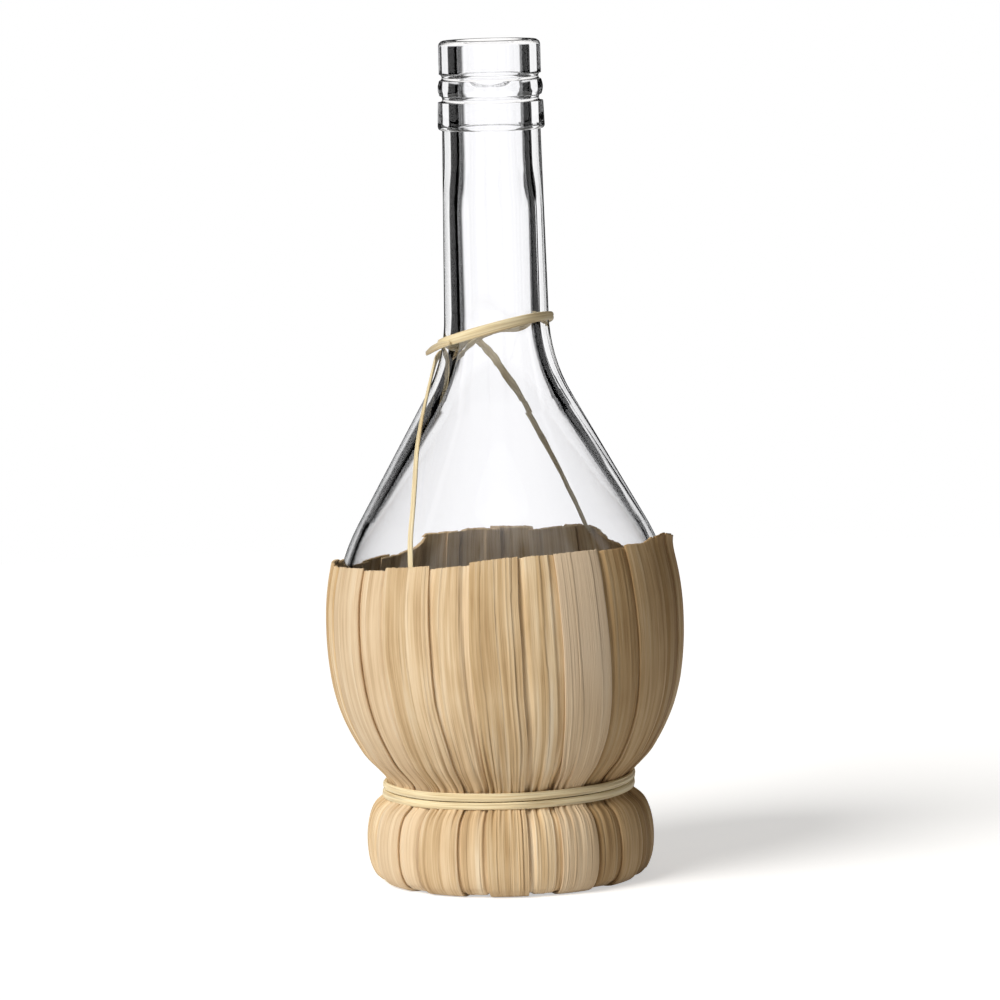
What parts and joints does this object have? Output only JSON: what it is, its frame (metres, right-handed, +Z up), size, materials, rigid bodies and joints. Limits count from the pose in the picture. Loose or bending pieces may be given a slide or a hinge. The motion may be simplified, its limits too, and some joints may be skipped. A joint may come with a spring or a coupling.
{
  "type": "straw-covered flask",
  "caption": "Round-bottomed clear glass flask with a ringed cork mouth, in a basket of husk strips tied at the waist over a straw foot ring, with a raffia neck cord.",
  "frame": {"origin": "on the floor, at the middle of the foot", "axes": "+Z up along the flask's axis; the front looks along -Y"},
  "size_m": [0.1004, 0.1004, 0.237],
  "materials": {
    "clear_glass": "clear, smooth, slightly wavy",
    "husk": "dry leaf, matt, ribbed lengthwise",
    "straw_core": "dry bundled straw",
    "raffia": "dry raffia, low sheen"
  },
  "bodies": {
    "root": {"glass_flask": "clear_glass", "foot_ring": "straw_core", "inner_husk_01": "husk", "inner_husk_02": "husk", "inner_husk_03": "husk", "inner_husk_04": "husk", "inner_husk_05": "husk", "inner_husk_06": "husk", "inner_husk_07": "husk", "inner_husk_08": "husk", "inner_husk_09": "husk", "inner_husk_10": "husk", "inner_husk_11": "husk", "inner_husk_12": "husk", "outer_husk_01": "husk", "outer_husk_02": "husk", "outer_husk_03": "husk", "outer_husk_04": "husk", "outer_husk_05": "husk", "outer_husk_06": "husk", "outer_husk_07": "husk", "outer_husk_08": "husk", "outer_husk_09": "husk", "outer_husk_10": "husk", "outer_husk_11": "husk", "outer_husk_12": "husk", "waist_tie": "raffia", "neck_cord": "raffia"}
  },
  "joints": []
}
